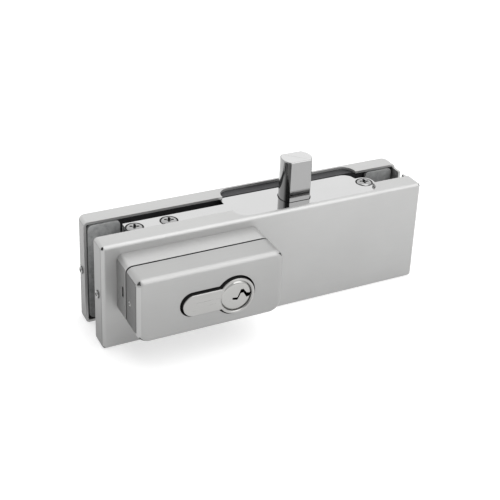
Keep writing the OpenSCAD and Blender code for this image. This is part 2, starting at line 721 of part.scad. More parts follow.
module bolt_tail() color("#a8aaac") difference() {
    block(tail_x0, tail_x1, axis_y - tail_t / 2, axis_y + tail_t / 2, tail_z - tail_half, tail_z + tail_half);
    block(tail_x0 - past, notch_x - notch_half, axis_y - tail_t, axis_y + tail_t,
        tail_z - notch_half, tail_z + notch_half);
    rod_y(notch_x - notch_half, tail_z, notch_half, axis_y - tail_t, axis_y + tail_t);
    for (at = rivets_at)
        rod_y(at[0], at[1], rivet_r, axis_y - tail_t, axis_y + tail_t);
}

module tail_rivets() color("#8d8f92") for (at = rivets_at)
    rod_y(at[0], at[1], rivet_r - fit / 2, axis_y - bolt_t / 2 + fit, axis_y + bolt_t / 2 - fit);

// Block that closes the bolt's channel behind it and carries the brake spring
module bolt_guide() color("#2f3032") {
    y0 = axis_y + bolt_t / 2 + run;
    side = bolt_d / 2 + run - fit;
    room_w = brake_w / 2 + fit;
    difference() {
        block(bolt_x - side, bolt_x + side, y0, wide_seat - fit, guide_z0, guide_z1);
        block(bolt_x - room_w, bolt_x + room_w, y0 - past, y0 + brake_t + brake_rise + fit,
            guide_z0 + guide_rim, guide_z1 - guide_rim);
    }
}

// Bowed strip that drags on the back of the bolt and holds it where the key leaves it
module bolt_brake_spring() color("#77797c") {
    crown_y = axis_y + bolt_t / 2 + fit;
    middle_z = (guide_z0 + guide_z1) / 2;
    intersection() {
        difference() {
            rod_x(crown_y + brake_r, middle_z, brake_r, bolt_x - brake_w / 2, bolt_x + brake_w / 2);
            rod_x(crown_y + brake_r, middle_z, brake_r - brake_t, bolt_x - brake_w, bolt_x + brake_w);
        }
        block(bolt_x - brake_w, bolt_x + brake_w, crown_y - past, crown_y + 3 * brake_rise,
            middle_z - brake_half, middle_z + brake_half);
    }
}

// The origin lies under the middle of the whole lock, housing and cylinder included
module placed() translate([0, (housing_d + cyl_proud) / 2, 0]) children();

placed() front_cover();
placed() rear_cover();
placed() lock_body();
placed() rear_clamp_plate();
placed() bolt_back_plate();
placed() cam_back_plate();
placed() back_plate_screws();
placed() top_plate();
placed() top_plate_screws();
placed() pad(-1, -1);  // front_left_pad
placed() pad(-1, 1);  // front_right_pad
placed() pad(1, -1);  // rear_left_pad
placed() pad(1, 1);  // rear_right_pad
placed() clamp_screws();
placed() cover_end_screws();
placed() housing_base();
placed() housing_cap();
placed() housing_screws();
placed() cap_set_screws();
placed() cylinder_body();
placed() cylinder_fixing_screw();
placed() driver_pins();
placed() pin_springs();
placed() pin_chamber_caps();
placed() cylinder_plug();
placed() key_pins();
placed() cylinder_cam();
placed() plug_clip();
placed() bolt();
placed() bolt_tail();
placed() tail_rivets();
placed() bolt_guide();
placed() bolt_brake_spring();
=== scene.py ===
import json
import math

import bpy
from mathutils import Matrix, Vector


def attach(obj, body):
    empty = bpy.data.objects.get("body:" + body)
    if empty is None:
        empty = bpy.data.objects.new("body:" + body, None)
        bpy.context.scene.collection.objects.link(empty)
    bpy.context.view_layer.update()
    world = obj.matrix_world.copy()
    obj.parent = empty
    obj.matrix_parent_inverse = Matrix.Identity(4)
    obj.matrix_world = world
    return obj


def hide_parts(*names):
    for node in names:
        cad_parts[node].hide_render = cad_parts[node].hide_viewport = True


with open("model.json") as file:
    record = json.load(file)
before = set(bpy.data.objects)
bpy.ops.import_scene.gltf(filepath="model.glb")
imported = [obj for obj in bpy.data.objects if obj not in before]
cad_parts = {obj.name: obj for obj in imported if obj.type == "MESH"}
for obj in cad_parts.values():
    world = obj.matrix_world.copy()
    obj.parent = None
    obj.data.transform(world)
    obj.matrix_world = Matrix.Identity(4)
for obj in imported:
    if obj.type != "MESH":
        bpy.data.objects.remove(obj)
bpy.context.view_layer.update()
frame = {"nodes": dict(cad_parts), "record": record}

# All measures are millimetres from the middle of the glass, as in the part's source.
MM = 0.001
GLASS_Y = 12.75

# Cutting tools: how far they reach past a wall, and the lengths of a short and a long one through it
PAST = 1
SHORT = 3
THROUGH = 6

# Play of a piece in its hole, and of a grub screw in its thread
PLAY = 0.2
SCREW_PLAY = 0.05

# How near a plane points count as lying on it: exactly placed ones, and those of a softened side
SLACK = 0.01
NEAR = 0.3

# Covers; the front one has small relief holes at its corners, with painted shade near them
COVER_L = 160
COVER_H = 51
FACE_Y = 16.25
LIP_Y = 6.75
SHEET = 1.2
SHEET_EDGE = 0.12
BEND = 1.8
REAR_END_BEND = 3.6
END_GAP = 3
NOTCH = {-1: (-15, 58.5), 1: (-13.8, 57.3)}
NOTCH_LAND = 2.4
NOTCH_R = 6
RELIEF_IN = 0.75
RELIEF_R = 0.5
RELIEF_L = 2.6
RELIEF_Z = 0.1
RELIEF_DARK_R = 0.56
RELIEF_DARK_Z = 1.6

# Pads
PAD_X = (63.1, 78.2)
PAD_Z = (1.8, 49.2)
PAD_T = 2
PAD_CORNER_R = 2.5
PAD_EDGE = 0.4

# Grub screws in the covers' ends, with their hexagon recesses and the painted shade in them
END_SCREW_Y = 10.75
END_SCREW_R = 1.75
END_SCREW_OUT = 0.8
END_SCREW_IN = 6.5
END_SCREW_TIP_R = 0.45
END_SCREW_EDGE = 0.06
END_HEX_R = 0.95
END_HEX_L = 2.6
END_HEX_DARK_R = 1.0
END_HEX_DARK_OUT = 0.75

# Lock case and top plate
AXIS_Y = -2.4
CASE_X0 = -63.8
STEP_X = -15
CASE_X1 = 54.5
STRIP_W = 9.8
WIDE_BACK = 8.1
PLATE_FRONT = -14.65
PLATE_END_R = 5.5
PLATE_STEP_R = 3
DECK_Z = 48.1
LID_Z = 49.6
LOBE_R = 4.9

# Screws of the top plate: their seats, with painted shade below the plate's top, their heads and cross
# recesses, with painted shade in them
TOP_SCREWS_X = (-60, -43.9, 56.6)
SEAT_R = (2.6, 4.45)
SEAT_T = 1.7
SEAT_SINK = 0.65
SEAT_DARK_R = 4.5
SEAT_DARK_Z = 0.2
SCREW_HOLE_R = 2.15
SCREW_HOLE_L = 4
HEAD_R = (2.3, 3.6)
HEAD_T = 1.42
HEAD_SINK = 0.79
HEAD_RINGS = ((0.3, 0.3), (0.45, 0.2), (0.6, 0.1), (0.6, 0.04))
HEAD_EDGE = 0.08
CROSS_REACH = 2.1
CROSS_HALF = 0.5
CROSS_Z = (-1.3, 1.2)
CROSS_TURN = 20
CROSS_CONE_R = (0.25, 1.35)
CROSS_CONE_SINK = 0.4
CROSS_CONE_L = 2
CROSS_DARK_R = 2.2
CROSS_DARK_Z = 0.3
SHANK_R = 1.95
SHANK_L = 7
SHANK_Z = 45.3

# Bolt, with the slot for its tail
BOLT_X = 18.5
BOLT_R = 7.4
BOLT_T = 10.6
BOLT_Z = (27.7, 69.6)
BOLT_PLAY = 0.3
BOLT_END_R = 0.5
BOLT_EDGE = 0.15
TAIL_SLOT_X = (-14, 5.5)
TAIL_SLOT_Z = (33.35, 46.65)
TAIL_SLOT_T = 4.2

# Cylinder, with its bores and the mouth of the plug's bore
CYL_X = -28.9
CYL_Z = 30
CYL_Y = -41.75
CYL_END_Y = 7.6
CYL_R = 8.5
CYL_REACH = 24.5
CYL_WEB = 10
CYL_EDGE = 0.4
PLUG_BORE_Y = -18
PLUG_BORE_L = 49
CAM_SLOT_R = 16.2
CAM_SLOT_W = 7.4
FIXING_R = 2.4
FIXING_L = 17
PINS_Y = (-35.75, -30.75, -25.75, -20.75, -15.75)
PIN_R = 1.5
PIN_BORE_L = 34
MOUTH = 0.35

# Plug: its dome, its neck with two flats, the groove for the clip, its pin bores and its key slot, with
# painted shade inside it
PLUG_R = 7.1
PLUG_PLAY = 0.02
BORE_R = PLUG_R + 0.08
PLUG_FRONT_Y = CYL_Y + 0.75
PLUG_END_Y = -6.1
PLUG_RIM_R = 0.3
PLUG_EDGE = 0.08
DOME_RINGS = ((0.25, 0.2), (0.35, 0.18), (0.6, 0.14), (1, 0.1), (1.5, 0.06), (1.6, 0.03))
NECK_R = 5
NECK_Y = (-6.3, 3.6)
NECK_FLATS_Y = (-8, 6)
NECK_FLAT = 4
GROOVE_Y = 1.8
GROOVE_W = 0.8
GROOVE_R = (4.2, 9)
PLUG_PIN_X = CYL_X - 4.5
PLUG_PIN_L = 7
KEY_SLOT = ((-2, -0.8, 0.5), (0.3, -1.2, 0.6), (1.9, 2.1, 0.9), (3.1, 2.0, 0.9), (4.6, -0.3, 1.1),
            (6.3, -0.5, 0.8), (8.1, 1.9, 0.9))
KEY_SLOT_END_Y = -12.95
KEY_SLOT_DARK_Y = (PLUG_FRONT_Y + 2, -12)
KEY_SLOT_DARK_R = PLUG_R - 0.6

# Housing: its corners, rounded only where the radius is over SHARP_R, its screws, base and rim
HOUSING_X = (-73.3, -6.1)
HOUSING_Z = (16.1, 46.5)
HOUSING_LOW_R = 6
HOUSING_TOP_R = (3, 4.5)
SHARP_R = 0.3
HOUSING_SCREWS_AT = ((-58.8, 20.78), (-11.5, 20.78), (-11.5, 41.82))
HOUSING_SCREW_R = 1.7
WALL = 2.6
BASE_Y = -27.05
BASE_FLOOR = 2
RIM_L = 6.5
RIM_CLEAR = 1.5
RIM_PLAY = 0.1
SLOT_Y = (-24.5, -22.9)
SLOT_Z = (30, 35)
SLOT_DEPTH = 1.5
SLOT_NEAR = 0.1

# Cap of the housing: its cut-out round the cylinder, and the zones, measured from its edges, of its painted
# edge highlight, its painted corner reflection and the painted shade inside it
CAP_Y = -40.75
CAP_BACK = 0.95
CAP_FRONT_R = 2.75
CUT_OUT_PLAY = 0.8
CUT_OUT_SHIFT = (-0.3, 0.35)
HIGHLIGHT_X = (0.4, 2)
HIGHLIGHT_Y = 2.3
HIGHLIGHT_Z = 2.5
DARK_REFLECTION_CORNER = 2.1
INSIDE = 1
INSIDE_Y = 0.6

# Grub screws in the cap's sides, with the painted shade in their hexagon recesses
CAP_SCREW = (-31.25, 31.1)
CAP_SCREW_R = 1.2
CAP_SCREW_HOLE_R = 1.35
CAP_SCREW_TIP_R = 0.3
CAP_SCREW_EDGE = 0.05
CAP_HEX_R = 0.5
CAP_HEX_L = 3
CAP_HEX_DARK_R = 0.55

# Painted shade round the cylinder in the gap of the cap's cut-out, from its front edge to just behind the
# cap's front wall
GAP_SHADE_Y = (CYL_Y + 0.35, CAP_Y + WALL + 0.3)
GAP_SHADE_R = PLUG_R + 1
GAP_SHADE_NEAR = 0.1

# The part of a noise, which runs from 0 to 1, that a finish spreads over its own range
NOISE_LOW = 0.3
NOISE_HIGH = 0.7

# Each shade of the room: a direction, the leans towards it between which it changes, and its two levels
ROOM_SHADES = (((0.35, 0.75, 0.56), -0.5, 0.9, 0.95, 1.45),
               ((-0.70, -0.31, 0.64), 0.76, 0.92, 1, 0.05))

# Viewpoint: the camera's place, and its turn, tilt and roll in radians
EYE = (-203.714, -388.222, 278.840)
TURN = 0.474456
TILT = 0.425889
ROLL = -0.04172


def at(x, y, z):
    """A point of the lock in Blender's metres."""
    return Vector((x, y + GLASS_Y, z)) * MM


def work_on(piece):
    """Makes a piece the only one chosen."""
    if bpy.context.object and bpy.context.object.mode != "OBJECT":
        bpy.ops.object.mode_set(mode="OBJECT")
    bpy.ops.object.select_all(action="DESELECT")
    piece.select_set(True)
    bpy.context.view_layer.objects.active = piece


def settle(piece, name):
    """Puts a new primitive's place into its mesh, and names it."""
    piece.name = name
    piece.data.name = name
    bpy.ops.object.transform_apply(location=True, rotation=True, scale=True)
    return piece


def block(name, low, high):
    """A box between two corners."""
    bpy.ops.object.select_all(action="DESELECT")
    low, high = at(*low), at(*high)
    bpy.ops.mesh.primitive_cube_add(size=1, location=(low + high) / 2, scale=high - low)
    return settle(bpy.context.object, name)


LYING = {"x": (0, math.pi / 2, 0), "y": (math.pi / 2, 0, 0), "z": (0, 0, 0)}


def rod(name, middle, radius, length, along, sides, end_radius=None):
    """A round bar or cone about its middle; the cone's end_radius is at its positive end."""
    bpy.ops.object.select_all(action="DESELECT")
    end_radius = radius if end_radius is None else end_radius
    first, last = (end_radius, radius) if along == "y" else (radius, end_radius)
    bpy.ops.mesh.primitive_cone_add(
        vertices=sides, radius1=first * MM, radius2=last * MM, depth=length * MM,
        location=at(*middle), rotation=LYING[along])
    return settle(bpy.context.object, name)


def prism(name, outline, low, high, along="y"):
    """An outline of points, carried through between two planes across the named axis."""
    bpy.ops.object.select_all(action="DESELECT")
    place = {"y": lambda a, b: at(a, low, b), "z": lambda a, b: at(a, b, low)}[along]
    mesh = bpy.data.meshes.new(name)
    mesh.from_pydata([place(a, b) for a, b in outline], [], [range(len(outline))])
    piece = bpy.data.objects.new(name, mesh)
    bpy.context.collection.objects.link(piece)
    work_on(piece)
    bpy.ops.object.mode_set(mode="EDIT")
    bpy.ops.mesh.select_all(action="SELECT")
    reach = (high - low) * MM
    bpy.ops.mesh.extrude_region_move(
        TRANSFORM_OT_translate={"value": (0, reach, 0) if along == "y" else (0, 0, reach)})
    bpy.ops.mesh.select_all(action="SELECT")
    bpy.ops.mesh.normals_make_consistent(inside=False)
    bpy.ops.object.mode_set(mode="OBJECT")
    return piece


def arc(middle, radius, start, stop, steps=12):
    """Points round part of a circle, from one angle to another in degrees."""
    return [(middle[0] + radius * math.cos(math.radians(start + (stop - start) * i / steps)),
             middle[1] + radius * math.sin(math.radians(start + (stop - start) * i / steps)))
            for i in range(steps + 1)]


def choose(piece, kind, wanted):
    """Enters edit mode with the faces or edges chosen for which wanted(corners) is true."""
    work_on(piece)
    bpy.ops.object.mode_set(mode="EDIT")
    bpy.ops.mesh.select_mode(type=kind)
    bpy.ops.mesh.select_all(action="DESELECT")
    bpy.ops.object.mode_set(mode="OBJECT")
    points = [v.co / MM - Vector((0, GLASS_Y, 0)) for v in piece.data.vertices]
    for part in piece.data.polygons if kind == "FACE" else piece.data.edges:
        part.select = wanted([points[i] for i in part.vertices])
    bpy.ops.object.mode_set(mode="EDIT")


def round_edges(piece, wanted, radius, steps):
    """Rounds the chosen edges of a piece."""
    choose(piece, "EDGE", wanted)
    bpy.ops.mesh.bevel(offset=radius * MM, segments=steps, profile=0.5, affect="EDGES")
    bpy.ops.object.mode_set(mode="OBJECT")


def level(points, axis, value, slack=SLACK):
    """Whether all the points lie at one value on an axis (0, 1 or 2)."""
    return all(abs(p[axis] - value) < slack for p in points)


def apply_all(piece):
    """Applies every modifier of a piece."""
    work_on(piece)
    for modifier in list(piece.modifiers):
        bpy.ops.object.modifier_apply(modifier=modifier.name)


def cut(piece, *tools, operation="DIFFERENCE"):
    """Cuts the tools out of a piece, adds them to it or keeps what it shares with them."""
    for tool in tools:
        modifier = piece.modifiers.new("cut", "BOOLEAN")
        modifier.operation = operation
        modifier.solver = "EXACT"
        modifier.object = tool
        apply_all(piece)
        bpy.data.objects.remove(tool)


def join(name, *pieces):
    """Joins loose pieces into one object."""
    work_on(pieces[0])
    for piece in pieces:
        piece.select_set(True)
    bpy.ops.object.join()
    pieces[0].name = name
    return pieces[0]


def soften(piece, radius, steps=2):
    """Takes the sharpness off a piece's edges, if a radius is given, and shades it as machined metal."""
    if radius:
        modifier = piece.modifiers.new("soft edges", "BEVEL")
        modifier.width = radius * MM
        modifier.segments = steps
        modifier.limit_method = "ANGLE"
        modifier.angle_limit = math.radians(30)
        modifier.miter_outer = "MITER_ARC"
        apply_all(piece)
    work_on(piece)
    bpy.ops.object.shade_smooth_by_angle(angle=math.radians(40))
    modifier = piece.modifiers.new("flat faces stay flat", "WEIGHTED_NORMAL")
    modifier.keep_sharp = True
    modifier.weight = 80
    apply_all(piece)


# Materials


class Finish:
    """A procedural metal, rubber or plastic, built up from a plain shader."""

    def __init__(self, name, colour, metallic, roughness):
        self.material = bpy.data.materials.new(name)
        self.material.use_nodes = True
        self.nodes = self.material.node_tree.nodes
        self.links = self.material.node_tree.links
        self.shader = self.nodes["Principled BSDF"]
        self.shader.inputs["Base Color"].default_value = (*colour, 1)
        self.shader.inputs["Metallic"].default_value = metallic
        self.shader.inputs["Roughness"].default_value = roughness
        self.place = self.nodes.new("ShaderNodeTexCoord").outputs["Object"]
        self.height = None

    def stretched(self, scale):
        """Object coordinates stretched by a factor on each axis."""
        node = self.nodes.new("ShaderNodeMapping")
        node.inputs["Scale"].default_value = scale
        self.links.new(self.place, node.inputs["Vector"])
        return node.outputs["Vector"]

    def noise(self, scale, detail, stretch=None, rough=0.6):
        """Fine random variation, drawn out along the axes whose stretch is small."""
        node = self.nodes.new("ShaderNodeTexNoise")
        node.inputs["Scale"].default_value = scale
        node.inputs["Detail"].default_value = detail
        node.inputs["Roughness"].default_value = rough
        self.links.new(self.stretched(stretch) if stretch else self.place, node.inputs["Vector"])
        return node.outputs["Fac"]

    def spread(self, value, low, high, start=NOISE_LOW, stop=NOISE_HIGH):
        """Maps a value to a range."""
        node = self.nodes.new("ShaderNodeMapRange")
        node.inputs["From Min"].default_value = start
        node.inputs["From Max"].default_value = stop
        node.inputs["To Min"].default_value = low
        node.inputs["To Max"].default_value = high
        self.links.new(value, node.inputs["Value"])
        return node.outputs["Result"]

    def tint(self, value, dark, light, shaded_foot=1):
        """Lets the colour wander between two tints, and darkens it by height to a share of it at the lower
        edge: painted shade.
        """
        node = self.nodes.new("ShaderNodeValToRGB")
        node.color_ramp.elements[0].position = NOISE_LOW
        node.color_ramp.elements[0].color = (*dark, 1)
        node.color_ramp.elements[1].position = NOISE_HIGH
        node.color_ramp.elements[1].color = (*light, 1)
        self.links.new(value, node.inputs["Fac"])
        # Painted shade: the colour is darkened towards the lower edge of the lock, by height.
        heights = self.nodes.new("ShaderNodeSeparateXYZ")
        self.links.new(self.place, heights.inputs["Vector"])
        bottom_shaded = self.nodes.new("ShaderNodeVectorMath")
        bottom_shaded.operation = "SCALE"
        self.links.new(node.outputs["Color"], bottom_shaded.inputs[0])
        share = self.spread(heights.outputs["Z"], shaded_foot, 1, 0, COVER_H * MM)
        self.links.new(share, bottom_shaded.inputs["Scale"])
        self.links.new(bottom_shaded.outputs["Vector"], self.shader.inputs["Base Color"])

    def roughen(self, value, low, high):
        """Lets the gloss wander between two values."""
        self.links.new(self.spread(value, low, high), self.shader.inputs["Roughness"])

    def bump(self, value, depth):
        """Raises the surface by a variation, depth in millimetres."""
        node = self.nodes.new("ShaderNodeBump")
        node.inputs["Strength"].default_value = 1
        node.inputs["Distance"].default_value = depth * MM
        self.links.new(value, node.inputs["Height"])
        if self.height:
            self.links.new(self.height, node.inputs["Normal"])
        self.height = node.outputs["Normal"]
        self.links.new(self.height, self.shader.inputs["Normal"])


def satin_steel(name, colour, roughness, grain=(0.12, 6, 6), depth=0.006, shaded_foot=0.84):
    """Brushed metal with faint clouds of wear and painted shade darkening it towards the lower edge;
    without a grain of its own it is brushed along the lock.
    """
    finish = Finish(name, colour, 0.7, roughness)
    lines = finish.noise(700, 3, grain, 0.5)
    clouds = finish.noise(28, 3)
    finish.tint(clouds, tuple(c * 0.95 for c in colour), colour, shaded_foot=shaded_foot)
    finish.roughen(lines, roughness - 0.03, roughness + 0.05)
    finish.bump(lines, depth)
    return finish.material


def polished(name, colour, roughness):
    """Mirror polish with hardly visible hairlines."""
    finish = Finish(name, colour, 1, roughness)
    hairs = finish.noise(900, 2, (0.05, 3, 3), 0.4)
    haze = finish.noise(40, 3)
    finish.tint(haze, tuple(c * 0.97 for c in colour), colour)
    finish.roughen(haze, roughness * 0.7, roughness * 1.6)
    finish.bump(hairs, 0.0008)
    return finish.material


def cast_metal(name, colour, roughness, metallic=0.6):
    """The fine skin of a casting, a sintered piece or a plastic, and the near-black painted shade in holes
    and gaps.
    """
    finish = Finish(name, colour, metallic, roughness)
    skin = finish.noise(1800, 3)
    clouds = finish.noise(60, 3)
    finish.tint(clouds, tuple(c * 0.8 for c in colour), colour)
    finish.roughen(skin, roughness - 0.08, roughness + 0.08)
    finish.bump(skin, 0.02)
    return finish.material


def turned(name, colour, roughness):
    """Small turned or stamped parts."""
    finish = Finish(name, colour, 1, roughness)
    marks = finish.noise(1200, 3, (1, 0.3, 1), 0.5)
    finish.tint(finish.noise(90, 3), tuple(c * 0.86 for c in colour), colour)
    finish.roughen(marks, roughness - 0.06, roughness + 0.1)
    finish.bump(marks, 0.004)
    return finish.material


def fibre(name, colour):
    """Grey gasket sheet: rubber bound with short fibres, darkened strongly towards the lower edge by
    painted shade.
    """
    finish = Finish(name, colour, 0, 0.8)
    threads = finish.noise(2600, 4, (1, 1, 0.35), 0.7)
    weave = finish.noise(420, 5, None, 0.7)
    finish.tint(weave, tuple(c * 0.72 for c in colour), tuple(c * 1.15 for c in colour), shaded_foot=0.4)
    finish.roughen(threads, 0.7, 0.92)
    finish.bump(threads, 0.03)
    finish.shader.inputs["Specular IOR Level"].default_value = 0.3
    return finish.material


# A steel given a share at the bottom is darkened to that share at the lower edge, as painted shade.
STEEL = satin_steel("brushed stainless", (0.43, 0.43, 0.427), 0.42)
# Cut ends of the covers, brushed up their height: a darker copy of the brushed steel as painted shade,
# darker still towards the bottom.
SHADED_END_STEEL = satin_steel("cut ends painted dark", (0.28, 0.28, 0.278), 0.38, (6, 6, 0.12), shaded_foot=0.62)
CAP_STEEL = satin_steel("brushed cap", (0.37, 0.37, 0.367), 0.40, shaded_foot=0.74)
# A lighter steel: a painted highlight on the cap's front left edge, and the plain finish of the cap's grub
# screws.
HIGHLIGHT_AND_SCREW_STEEL = satin_steel("painted edge highlight and screw steel", (0.42, 0.42, 0.417), 0.36, shaded_foot=0.85)
# Sides of the cap: a near-black copy of the brushed steel as painted shade, also used for the painted
# reflection on its front left top corner.
SHADED_CAP_SIDE = satin_steel("ground cap sides painted dark", (0.095, 0.095, 0.094), 0.34, (6, 0.12, 6), shaded_foot=0.75)
HOUSING_STEEL = satin_steel("brushed housing", (0.46, 0.46, 0.457), 0.38)
# Sides of the housing's base: a darker copy of the housing steel as painted shade.
SHADED_SIDE_STEEL = satin_steel("ground sides painted dark", (0.235, 0.235, 0.233), 0.36, (6, 0.12, 6))
MIRROR = polished("mirror steel", (0.48, 0.48, 0.48), 0.06)
BOLT_STEEL = polished("polished bolt", (0.31, 0.31, 0.31), 0.07)
# A lighter copy of the bolt's polished steel for its top end, as painted light.
LIT_BOLT_TOP = polished("polished bolt end, painted light", (0.50, 0.50, 0.50), 0.10)
SCREW_CHROME = polished("bright screw", (0.30, 0.30, 0.30), 0.16)
NICKEL = satin_steel("satin nickel", (0.39, 0.388, 0.38), 0.3, depth=0.002)
PLUG_NICKEL = polished("bright nickel", (0.38, 0.378, 0.37), 0.1)
CASTING = cast_metal("dark casting", (0.045, 0.045, 0.048), 0.55)
ZINC = turned("zinc plate", (0.50, 0.505, 0.51), 0.35)
SPRING = turned("spring steel", (0.36, 0.365, 0.37), 0.3)
BRASS = turned("brass", (0.62, 0.44, 0.19), 0.28)
SINTERED = cast_metal("sintered steel", (0.30, 0.29, 0.27), 0.45, 0.9)
ACETAL = cast_metal("black acetal", (0.02, 0.02, 0.022), 0.4, 0)
GASKET = fibre("grey gasket", (0.33, 0.335, 0.335))
# Near-black painted shade for holes, recesses, gaps and the insides of parts.
SHADE_PAINT = cast_metal("painted shade in holes and gaps", (0.012, 0.012, 0.012), 0.7, 0)

BY_SLOT = {
    "cover_steel": STEEL, "casting": CASTING, "plate_steel": ZINC, "screw_steel": ZINC,
    "polished_steel": MIRROR, "pad": GASKET, "bright_screw": SCREW_CHROME,
    "housing_metal": HOUSING_STEEL, "nickel_brass": NICKEL, "brass": BRASS,
    "spring_steel": SPRING, "cam_steel": SINTERED, "guide_plastic": ACETAL,
}

for subpart in frame["record"]["subparts"]:
    node = frame["nodes"][subpart["node"]]
    node.data.materials.clear()
    node.data.materials.append(BY_SLOT[subpart["material_slot"]])


def stand_for(piece, material, body, slot, *nodes):
    """Gives a finished piece its material and its place in the frame, instead of CAD nodes."""
    piece.data.materials.clear()
    piece.data.materials.append(material)
    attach(piece, body)
    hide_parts(*nodes)


def paint_light_and_shade(piece, material, wanted):
    """Gives some faces of a finished piece another material, which paints light or shade on them."""
    piece.data.materials.append(material)
    choose(piece, "FACE", wanted)
    piece.active_material_index = len(piece.data.materials) - 1
    bpy.ops.object.material_slot_assign()
    bpy.ops.object.mode_set(mode="OBJECT")


# Covers and pads


def profile_tool(name, grow, y0, y1, aside=0, up=0):
    """The profile cylinder's shape between two depths, grown by some play and moved aside or up."""
    mid_x, mid_z = CYL_X + aside, CYL_Z + up
    end_x = mid_x - CYL_REACH + CYL_WEB / 2
    half = CYL_WEB / 2 + grow
    radius = CYL_R + grow
    meet = math.degrees(math.asin(half / radius))
    outline = arc((mid_x, mid_z), radius, 180 + meet, 540 - meet, 72)
    outline += arc((end_x, mid_z), half, 90, 270, 24)
    return prism(name, outline, y0, y1)


def cover_holes(side):
    """The tools that cut a cover; on the key side also those for the housing and the relief holes."""
    face = side * FACE_Y
    tools = [notch_tool(side)]
    for end in (-1, 1):
        middle = (end * COVER_L / 2, side * END_SCREW_Y, COVER_H / 2)
        tools.append(rod("hole", middle, END_SCREW_R + PLAY, THROUGH, "x", 48))
    if side < 0:
        tools.append(profile_tool("cylinder hole", PLAY, face - PAST, face + SHORT))
        for x, z in HOUSING_SCREWS_AT:
            tools.append(rod("hole", (x, face, z), HOUSING_SCREW_R, THROUGH, "y", 32))
        for end in (-1, 1):
            for z in (RELIEF_Z, COVER_H - RELIEF_Z):
                middle = (end * (COVER_L / 2 - RELIEF_IN), face + RELIEF_IN, z)
                tools.append(rod("relief", middle, RELIEF_R, RELIEF_L, "z", 16))
    return tools


def cover(name, side):
    """A bent sheet cover: side -1 is the key side, 1 the plain side."""
    face, lip = side * FACE_Y, side * LIP_Y
    piece = block(name, (-COVER_L / 2, min(face, lip), 0), (COVER_L / 2, max(face, lip), COVER_H))
    if side > 0:
        round_edges(piece, lambda ends: level(ends, 1, face) and level(ends, 0, ends[0].x),
                    REAR_END_BEND, 12)
        round_edges(piece, lambda ends: not level(ends, 1, lip) and level(ends, 2, ends[0].z), BEND, 7)
    else:
        round_edges(piece, lambda ends: not level(ends, 1, lip), BEND, 7)
    choose(piece, "FACE", lambda corners: level(corners, 1, lip))
    bpy.ops.mesh.delete(type="FACE")
    bpy.ops.object.mode_set(mode="OBJECT")
    choose(piece, "EDGE", lambda ends: level(ends, 0, COVER_L / 2) and level(ends, 1, lip))
    bpy.ops.mesh.extrude_edges_move(
        TRANSFORM_OT_translate={"value": (0, -side * (LIP_Y - END_GAP / 2) * MM, 0)})
    bpy.ops.object.mode_set(mode="OBJECT")
    wall = piece.modifiers.new("sheet", "SOLIDIFY")
    wall.thickness = SHEET * MM
    wall.offset = -1
    wall.use_even_offset = True
    apply_all(piece)
    cut(piece, *cover_holes(side))
    soften(piece, SHEET_EDGE)
    stand_for(piece, STEEL, "case", "cover_steel", name.replace("sheet", "cover"))
    # Painted shade: the covers' end faces take the darker copy of the steel.
    paint_light_and_shade(piece, SHADED_END_STEEL, lambda corners: any(
        level(corners, 0, end * COVER_L / 2, NEAR) for end in (-1, 1)))
    # Painted shade in and round the relief holes at the front cover's corners.
    paint_light_and_shade(piece, SHADE_PAINT, lambda corners: all(
        math.hypot(abs(p.x) - COVER_L / 2 + RELIEF_IN, p.y - face - RELIEF_IN) < RELIEF_DARK_R
        and abs(p.z - COVER_H / 2) > COVER_H / 2 - RELIEF_DARK_Z for p in corners))


def notch_tool(side):
    """The rounded notch in a top lip, over the lock case."""
    x0, x1 = NOTCH[side]
    floor, mouth, r = FACE_Y - NOTCH_LAND, LIP_Y - PAST, NOTCH_R
    outline = [(x0, side * mouth), (x1, side * mouth)]
    outline += [(x, side * y) for x, y in arc((x1 - r, floor - r), r, 0, 90)]
    outline += [(x, side * y) for x, y in arc((x0 + r, floor - r), r, 90, 180)]
    return prism("notch", outline, COVER_H - 2 * SHEET, COVER_H + PAST, "z")


def pad(name, side, end):
    """A gasket pad with soft edges, on the key side (-1) or the plain side (1)."""
    inner_x, outer_x = PAD_X[0] + PAD_CORNER_R, PAD_X[1] - PAD_CORNER_R
    low_z, high_z = PAD_Z[0] + PAD_CORNER_R, PAD_Z[1] - PAD_CORNER_R
    outline = []
    for middle, start in (((outer_x, high_z), 0), ((inner_x, high_z), 90),
                          ((inner_x, low_z), 180), ((outer_x, low_z), 270)):
        outline += arc(middle, PAD_CORNER_R, start, start + 90, 8)
    outline = [(end * x, z) for x, z in outline]
    y0 = LIP_Y if side > 0 else -LIP_Y - PAD_T
    piece = prism(name + "_sheet", outline, y0, y0 + PAD_T)
    soften(piece, PAD_EDGE, 4)
    stand_for(piece, GASKET, "case", "pad", name)


def end_screw(side, end):
    """A grub screw with a hexagon recess, standing a little out of the cover."""
    tip, root = COVER_L / 2 + END_SCREW_OUT, COVER_L / 2 - END_SCREW_IN
    y, z = side * END_SCREW_Y, COVER_H / 2
    piece = rod("end_screw", (end * (tip + root) / 2, y, z), END_SCREW_R - SCREW_PLAY, tip - root, "x", 64)
    round_edges(piece, lambda ends: level(ends, 0, end * tip), END_SCREW_TIP_R, 4)
    cut(piece, rod("recess", (end * tip, y, z), END_HEX_R, END_HEX_L, "x", 6))
    soften(piece, END_SCREW_EDGE)
    return piece


def end_screws():
    """The four grub screws in the covers' ends, with painted shade in their recesses."""
    piece = join("end_screws", *[end_screw(side, end) for end in (-1, 1) for side in (-1, 1)])
    stand_for(piece, SCREW_CHROME, "case", "screw_steel", "cover_end_screws")
    # Painted shade in the hexagon recesses.
    paint_light_and_shade(piece, SHADE_PAINT, lambda corners: all(
        math.hypot(abs(p.y) - END_SCREW_Y, p.z - COVER_H / 2) < END_HEX_DARK_R for p in corners)
        and min(abs(p.x) for p in corners) < COVER_L / 2 + END_HEX_DARK_OUT)


